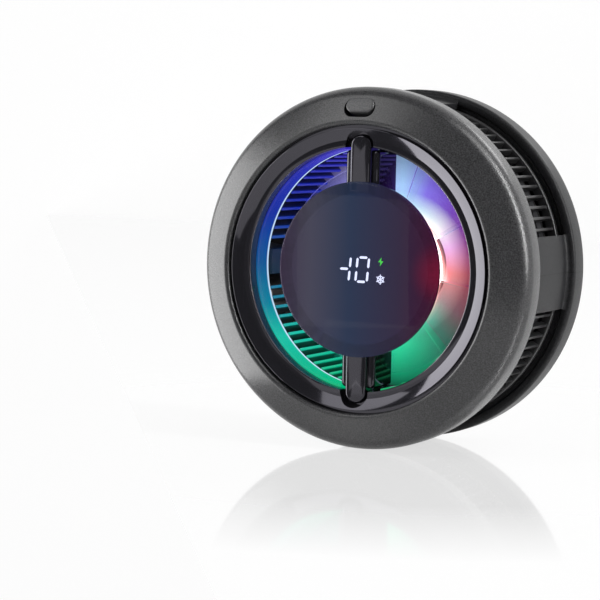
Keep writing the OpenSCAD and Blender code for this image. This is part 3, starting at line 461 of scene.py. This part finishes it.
gloss_black = grained(
    "polished_black", (0.006, 0.006, 0.008), roughness=0.09, scale=700, unevenness=0.1, bump=0.002, IOR=1.5,
    Coat_Weight=0.6, Coat_Roughness=0.04, Specular_Tint=(0.85, 0.8, 1.0, 1))
pod = bmesh.new()
turned(
    pod,
    [(0.01, 22.4), (12.9, 22.4), (15.9, 27.1), (15.9, 27.6), (13.7, 27.6), (13.7, 25.5), (12.5, 25.5),
     (12.5, 23.6), (0.01, 23.6)],
    [(1, 0.8, 5), (2, 0.25, 3)])
for side in (0, 180):
    arm_turn = Matrix.Rotation(math.radians(side), 4, "Y")
    softened(pod, arm_turn, (-2.1, 13.8, 20.3), (2.1, 24.4, 28.3), 2.05, 0.5)
    softened(pod, arm_turn, (-3.4, 13.8, 20.3), (3.4, 21.6, 27.3), 0.8, 0.6)
    softened(pod, arm_turn, (-3.1, 20.6, 21.3), (3.1, 26.6, 23.2), 0.3, 0.2)
placed(pod, "display_cup", "root", "gloss_black", gloss_black, "display_pod")


# Display lens: a disc of smoked acrylic, polished, with a rounded edge, stuck onto the pod's rim. The
# light and reflections in it are painted on as emission: paler at the left, bluish in the middle, wine red at
# 3 o'clock.
lens_finish = bpy.data.materials.new("smoked_acrylic")
lens_finish.use_nodes = True
tree = lens_finish.node_tree
shader = tree.nodes["Principled BSDF"]
for socket, value in (
        ("Base Color", (0.12, 0.12, 0.15, 1)), ("Roughness", 0), ("Transmission Weight", 1), ("IOR", 1.2),
        ("Emission Strength", 0.68)):
    shader.inputs[socket].default_value = value
lens_edge = 0.0159
lens_place = node_in(tree, "TexCoord")
across = node_in(tree, "SeparateXYZ")
# Painted reflection and light across the lens: paler at the left, bluish in the middle, reddish at the right.
painted_sheen = graded(tree, across.outputs["X"], -lens_edge, lens_edge, [
    (-lens_edge, (0.05, 0.035, 0.065)), (-0.0095, (0.06, 0.058, 0.09)), (-0.0015, (0.02, 0.034, 0.075)),
    (0.008, (0.03, 0.02, 0.05)), (lens_edge, (0.055, 0.008, 0.03))])
# A painted red glow at 3 o'clock, from the diodes' light beside the lens.
from_red_glow = node_in(tree, "VectorMath", {1: (0.0165, -0.0288, 0)}, operation="DISTANCE")
red_glow_share = node_in(
    tree, "MapRange", {"From Max": 0.0065, "To Min": 1, "To Max": 0}, interpolation_type="SMOOTHSTEP")
with_red_glow = node_in(tree, "Mix", {"B": (0.17, 0.01, 0.035, 1)}, data_type="RGBA")
wired(
    tree, (lens_place.outputs["Object"], across.inputs["Vector"]),
    (lens_place.outputs["Object"], from_red_glow.inputs[0]), (from_red_glow.outputs["Value"], red_glow_share.inputs["Value"]),
    (red_glow_share.outputs["Result"], with_red_glow.inputs["Factor"]), (painted_sheen, with_red_glow.inputs["A"]),
    (with_red_glow.outputs["Result"], shader.inputs["Emission Color"]))
lens = bmesh.new()
turned(lens, [(0.01, 27.6), (15.9, 27.6), (15.9, 28.8), (0.01, 28.8)], [(2, 0.4, 5)])
placed(lens, "display_window", "root", "lens", lens_finish, "display_lens")


# Inlet ring: a funnel of polished black plastic. Its lip is rounded, a notch with soft corners takes
# each arm, and its flange is held under the bezel.
def cut(piece, cutter_shape, crisp):
    """Cuts a closed bmesh out of a piece."""
    mesh = bpy.data.meshes.new("cutter")
    bmesh.ops.recalc_face_normals(cutter_shape, faces=cutter_shape.faces)
    cutter_shape.to_mesh(mesh)
    cutter_shape.free()
    cutter = bpy.data.objects.new("cutter", mesh)
    bpy.context.scene.collection.objects.link(cutter)
    trim = piece.modifiers.new("trim", "BOOLEAN")
    trim.operation = "DIFFERENCE"
    trim.solver = "EXACT"
    trim.object = cutter
    bpy.context.view_layer.update()
    done = bpy.data.meshes.new_from_object(piece.evaluated_get(bpy.context.evaluated_depsgraph_get()))
    piece.modifiers.remove(trim)
    rough = piece.data
    done.name = rough.name + "_cut"
    piece.data = done
    bpy.data.meshes.remove(rough)
    bpy.data.objects.remove(cutter)
    bpy.data.meshes.remove(mesh)
    done.shade_smooth()
    done.set_sharp_from_angle(angle=math.radians(crisp))


inlet_crisp = 22
inlet = bmesh.new()
turned(
    inlet,
    [(22.2, 26.1), (22.2, 28.75), (23.45, 28.6), (25.55, 29.6), (25.55, 28.53), (26.1, 28.53), (27.4, 27.94),
     (27.4, 26.84), (25.5, 26.84), (25.5, 26.1)],
    [(0, 0.15, 3), (1, 0.3, 6), (3, 0.15, 4)], steps=256)
inlet_ring = placed(
    inlet, "inlet_funnel", "root", "gloss_black", gloss_black, "inlet_ring", crisp=inlet_crisp)
clear_of_front = 32
for plan, low, soft_corners in (
        ([(4.2, 10), (4.2, 21.4), (2.8, 21.4), (2.8, 25.1)], 27.1, ((2.8, 25.1, 2.75), (2.8, 21.4, 1.35))),
        ([(2.15, 10), (2.15, 24.45)], 23, ((2.15, 24.45, 2.1),))):
    notches = bmesh.new()
    for side in (0, 180):
        turn = Matrix.Rotation(math.radians(side), 3, "Y")
        outline = [(-x, z) for x, z in plan] + plan[::-1]
        base = notches.faces.new([notches.verts.new(turn @ Vector((x, -low, z)) * MM) for x, z in outline])
        grown = bmesh.ops.extrude_face_region(notches, geom=[base])["geom"]
        bmesh.ops.translate(
            notches, verts=[g for g in grown if isinstance(g, bmesh.types.BMVert)],
            vec=(0, (low - clear_of_front) * MM, 0))
        for x, z, soft in soft_corners:
            corner_edges = [
                e for e in notches.edges
                if along_axis(e) and all(
                    abs(abs(w.co.x) - x * MM) < 1e-6 and abs((turn @ w.co).z - z * MM) < 1e-6
                    for w in e.verts)]
            rounded(notches, corner_edges, soft, 10, clamp=False)
    cut(inlet_ring, notches, inlet_crisp)


# Front bezel: the broad ring of the same dark grey plastic, clamped by the case screws. Its
# cone-shaped face runs into a rounded edge, and an oval opening at 12 o'clock takes the button.
housing_grey = grained(
    "housing_plastic", (0.036, 0.036, 0.038), roughness=0.25, scale=4200, unevenness=0.07, bump=0.03,
    speckle=0.6, Specular_IOR_Level=0.6)
bezel_crisp = 30
bezel = bmesh.new()
turned(
    bezel, [(26.1, 28.7), (26.1, 30.4), (33, 27.27), (33, 22.2), (31.4, 22.2), (31.4, 25.9)],
    [(1, 1.15, 8), (2, 2.0, 12), (3, 0.25, 4)], steps=256)
bezel_ring = placed(bezel, "bezel_ring", "root", "housing", housing_grey, "front_bezel", crisp=bezel_crisp)
opening = bmesh.new()
bmesh.ops.create_cube(
    opening, size=1,
    matrix=Matrix.Translation(Vector((0, -29.0, 29.2)) * MM)
    @ Matrix.Diagonal((6.2 * MM, 12 * MM, 3.4 * MM, 1)))
rounded(opening, [e for e in opening.edges if along_axis(e)], 1.69, 12)
cut(bezel_ring, opening, bezel_crisp)


# Power button: an oval cap of the same grey plastic that stands a little out of its opening and
# presses the switch behind it. It leans with the bezel's face.
cap_finish = grained(
    "button_plastic", (0.075, 0.075, 0.078), roughness=0.34, scale=4200, unevenness=0.06, bump=0.02,
    speckle=0.5)
face_tilt = math.radians(24.4)
cap = bmesh.new()
bmesh.ops.create_cube(cap, size=1, matrix=Matrix.Diagonal((5.6 * MM, 2.6 * MM, 2.8 * MM, 1)))
rounded(cap, [e for e in cap.edges if along_axis(e)], 1.39, 12)
rounded(cap, [e for e in cap.edges if all(w.co.y < -1.29 * MM for w in e.verts)], 0.35, 5)
bmesh.ops.transform(
    cap, verts=cap.verts,
    matrix=Matrix.Translation(Vector((0, -27.7, 29.2)) * MM) @ Matrix.Rotation(-face_tilt, 4, "X"))
placed(cap, "button_key", "button", "housing", cap_finish, "button_cap")


# Inner pieces, seen through the inlet and the outlets or not at all: metal, ceramic, boards, foam
# and screws as they come from their makers. The readout's segments are lit on their front faces
# only, white, and the bolt at the upper right of the digits is green.
lit_signs = grained(
    "lit_segments", (0.01, 0.01, 0.012), roughness=0.5, scale=2000, unevenness=0.03, bump=0.005)
digits_right = 2.8 * MM
tree = lit_signs.node_tree
shader = tree.nodes["Principled BSDF"]
shader.inputs["Emission Strength"].default_value = 8
sign_place = node_in(tree, "TexCoord")
sign_parts = node_in(tree, "SeparateXYZ")
right_of_digits = node_in(tree, "Math", {1: digits_right}, operation="GREATER_THAN")
upper = node_in(tree, "Math", {1: 0}, operation="GREATER_THAN")
on_bolt = node_in(tree, "Math", operation="MULTIPLY")
sign_colour = node_in(
    tree, "Mix", {"A": (0.9, 0.95, 1.0, 1), "B": (0.05, 0.7, 0.02, 1)}, data_type="RGBA")
sign_facing = node_in(tree, "SeparateXYZ")
to_front = node_in(tree, "Math", {1: -0.9}, operation="LESS_THAN")
front_only = node_in(tree, "Mix", {"A": (0, 0, 0, 1)}, data_type="RGBA")
wired(
    tree, (sign_place.outputs["Object"], sign_parts.inputs["Vector"]),
    (sign_parts.outputs["X"], right_of_digits.inputs[0]), (sign_parts.outputs["Z"], upper.inputs[0]),
    (right_of_digits.outputs["Value"], on_bolt.inputs[0]), (upper.outputs["Value"], on_bolt.inputs[1]),
    (on_bolt.outputs["Value"], sign_colour.inputs["Factor"]),
    (sign_place.outputs["Normal"], sign_facing.inputs["Vector"]),
    (sign_facing.outputs["Y"], to_front.inputs[0]), (to_front.outputs["Value"], front_only.inputs["Factor"]),
    (sign_colour.outputs["Result"], front_only.inputs["B"]),
    (front_only.outputs["Result"], shader.inputs["Emission Color"]))
diode_package = grained(
    "diode_package", (0.8, 0.8, 0.75), roughness=0.35, scale=3000, unevenness=0.04, bump=0.01)
tree, shader, diodes = diodes_on(diode_package)
tree.links.new(diodes["Edge colour"], shader.inputs["Emission Color"])
inner = {"led": diode_package, "segment": lit_signs}
for slot, name, colour, roughness, scale, unevenness, bump, metallic in (
        ("magnet", "nickel_plate", (0.62, 0.6, 0.56), 0.22, 2500, 0.05, 0.004, 1),
        ("steel", "sheet_steel", (0.5, 0.5, 0.51), 0.32, 3000, 0.07, 0.006, 1),
        ("copper", "enamelled_copper", (0.6, 0.27, 0.12), 0.3, 4000, 0.12, 0.02, 1),
        ("ferrite", "sintered_ferrite", (0.02, 0.02, 0.021), 0.7, 4000, 0.15, 0.02, 0),
        ("ceramic", "fired_alumina", (0.8, 0.8, 0.77), 0.5, 4000, 0.04, 0.01, 0),
        ("solder", "sintered_pellets", (0.3, 0.3, 0.32), 0.45, 4000, 0.1, 0.02, 1),
        ("foam", "closed_cell_foam", (0.012, 0.012, 0.012), 0.9, 2500, 0.2, 0.08, 0),
        ("board", "solder_mask", (0.012, 0.014, 0.02), 0.4, 3000, 0.1, 0, 0),
        ("bronze", "sintered_bronze", (0.5, 0.3, 0.12), 0.45, 5000, 0.1, 0.015, 1),
        ("black_plastic", "plain_black", (0.012, 0.012, 0.013), 0.5, 4000, 0.08, 0.02, 0),
        ("screw", "black_oxide", (0.03, 0.03, 0.033), 0.38, 4000, 0.1, 0.01, 0.8),
        ("epoxy", "dipped_epoxy", (0.02, 0.015, 0.012), 0.2, 1500, 0.1, 0.01, 0)):
    inner[slot] = grained(name, colour, roughness, scale, unevenness, bump, Metallic=metallic)
for subpart in frame["record"]["subparts"]:
    if not frame["nodes"][subpart["node"]].hide_render and subpart["material_slot"] in inner:
        finished(inner[subpart["material_slot"]], subpart["node"])


# Studio: a pale floor, polished under the part and matt farther off, and a white backdrop, both stage
# only. The floor ends at the camera's left, so that the big box there also lights the part from a
# little below. A narrow strip stands at the right, with soft boxes behind, above, in front and low.
def staged(name, matrix, size, finish):
    """A flat stage surface."""
    shape = bmesh.new()
    bmesh.ops.create_grid(shape, x_segments=1, y_segments=1, size=size, matrix=matrix)
    mesh = bpy.data.meshes.new(name)
    shape.to_mesh(mesh)
    shape.free()
    mesh.materials.append(finish)
    surface = bpy.data.objects.new(name, mesh)
    bpy.context.scene.collection.objects.link(surface)


def stage_white(name, polish, far):
    """White to the camera and in reflections, and a plain pale surface for the light that it bounces.

    Polish is the mirror's share near the part, and far how white reflections see the surface away
    from a pool of light at the part's left front.
    """
    finish = bpy.data.materials.new(name)
    finish.use_nodes = True
    tree = finish.node_tree
    tree.nodes.remove(tree.nodes["Principled BSDF"])
    pale = node_in(tree, "BsdfDiffuse", {"Color": (0.85, 0.85, 0.85, 1)})
    white = node_in(tree, "Emission")
    mirror = node_in(tree, "BsdfGlossy", {"Color": (1, 1, 1, 1), "Roughness": 0.05})
    path = node_in(tree, "LightPath")
    spot = node_in(tree, "NewGeometry")
    from_part = node_in(tree, "VectorMath", operation="LENGTH")
    from_pool = node_in(tree, "VectorMath", {1: (-0.08, -0.1, -0.033)}, operation="DISTANCE")
    pool = node_in(tree, "MapRange", {"From Min": 0.08, "From Max": 0.2, "To Min": 1, "To Max": far})
    near = node_in(tree, "MapRange", {"From Min": 0.085, "From Max": 0.125, "To Min": polish, "To Max": 0})
    mirrored = node_in(tree, "Math", operation="MULTIPLY")
    either = node_in(tree, "Math", operation="ADD")
    any_ray = node_in(tree, "Math", operation="ADD", use_clamp=True)
    share = node_in(tree, "Math", {1: 0.9}, operation="MULTIPLY")
    seen = node_in(tree, "MixShader")
    polished = node_in(tree, "MixShader")
    wired(
        tree, (spot.outputs["Position"], from_part.inputs[0]),
        (spot.outputs["Position"], from_pool.inputs[0]), (from_pool.outputs["Value"], pool.inputs["Value"]),
        (from_part.outputs["Value"], near.inputs["Value"]),
        (path.outputs["Is Glossy Ray"], mirrored.inputs[0]), (pool.outputs["Result"], mirrored.inputs[1]),
        (path.outputs["Is Camera Ray"], either.inputs[0]), (mirrored.outputs["Value"], either.inputs[1]),
        (either.outputs["Value"], any_ray.inputs[0]),
        (path.outputs["Is Transmission Ray"], any_ray.inputs[1]), (any_ray.outputs["Value"], share.inputs[0]),
        (share.outputs["Value"], seen.inputs[0]), (pale.outputs["BSDF"], seen.inputs[1]),
        (white.outputs["Emission"], seen.inputs[2]), (near.outputs["Result"], polished.inputs[0]),
        (seen.outputs["Shader"], polished.inputs[1]), (mirror.outputs["BSDF"], polished.inputs[2]),
        (polished.outputs["Shader"], tree.nodes["Material Output"].inputs["Surface"]))
    return finish


staged(
    "floor", Matrix.Rotation(math.radians(36.25), 4, "Z") @ Matrix.Translation((1.4465, 1.35, -0.0332)), 1.5,
    stage_white("studio_floor", polish=0.25, far=0.3))
staged(
    "backdrop", Matrix.Translation((0, 0.7, 0)) @ Matrix.Rotation(math.pi / 2, 4, "X"), 3.0,
    stage_white("studio_backdrop", polish=0, far=1))

world = bpy.data.worlds.new("studio")
bpy.context.scene.world = world
world.use_nodes = True
world.node_tree.nodes["Background"].inputs["Color"].default_value = (1, 1, 1, 1)
world.node_tree.nodes["Background"].inputs["Strength"].default_value = 0.15

lamps_aim = Vector((0, -0.015, 0))
for name, spot, width, height, power in (
        ("left_box", (-0.9, -0.32, -0.1), 0.9, 1.0, 14),
        ("right_strip", (0.72, -0.05, 0.33), 0.06, 0.75, 5.5),
        ("back_box", (0.25, 0.55, 0.5), 0.3, 0.3, 1.2),
        ("top_box", (-0.36, -0.51, 0.5), 0.4, 0.4, 1.1),
        ("front_box", (-0.45, -0.9, -0.05), 0.3, 0.3, 0.24),
        ("low_box", (-0.1, -0.6, -0.4), 0.6, 0.6, 1),
        ("over_box", (0.4, -0.1, 0.7), 0.35, 0.35, 1.5)):
    lamp = bpy.data.lights.new(name, "AREA")
    lamp.shape = "RECTANGLE"
    lamp.energy = power
    lamp.size = width
    lamp.size_y = height
    box = bpy.data.objects.new(name, lamp)
    box.location = spot
    box.rotation_euler = (lamps_aim - Vector(spot)).to_track_quat("-Z", "Y").to_euler()
    bpy.context.scene.collection.objects.link(box)


# Camera: a long lens, a little to the right of the front and a little above it, with a slight roll.
# It is turned so that the middle of the part's front lies right of the picture's middle and above it.
azimuth, elevation, roll = math.radians(26.78), math.radians(3.95), math.radians(1.3)
back = Vector((
    math.sin(azimuth) * math.cos(elevation), -math.cos(azimuth) * math.cos(elevation), math.sin(elevation)))
right = Vector((math.cos(azimuth), math.sin(azimuth), 0))
up = back.cross(right)
right, up = (
    math.cos(roll) * right + math.sin(roll) * up, -math.sin(roll) * right + math.cos(roll) * up)
lens_px, image_px, aim_px = 2112, 600, (352.2, 270.3)
front_middle, distance = Vector((0, -0.0304, 0)), 0.38
yaw = math.atan((aim_px[0] - image_px / 2) / lens_px)
pitch = math.atan((image_px / 2 - aim_px[1]) / lens_px)
view = Matrix((right, up, back)).transposed()
view = view @ Matrix.Rotation(yaw, 3, "Y") @ Matrix.Rotation(-pitch, 3, "X")
camera_data = bpy.data.cameras.new("camera")
camera_data.sensor_width = 36
camera_data.lens = lens_px / image_px * camera_data.sensor_width
camera_data.clip_start = 0.01
camera = bpy.data.objects.new("camera", camera_data)
camera.matrix_world = Matrix.Translation(front_middle + distance * back) @ view.to_4x4()
bpy.context.scene.collection.objects.link(camera)
bpy.context.scene.camera = camera
bpy.context.scene.view_settings.view_transform = "Standard"
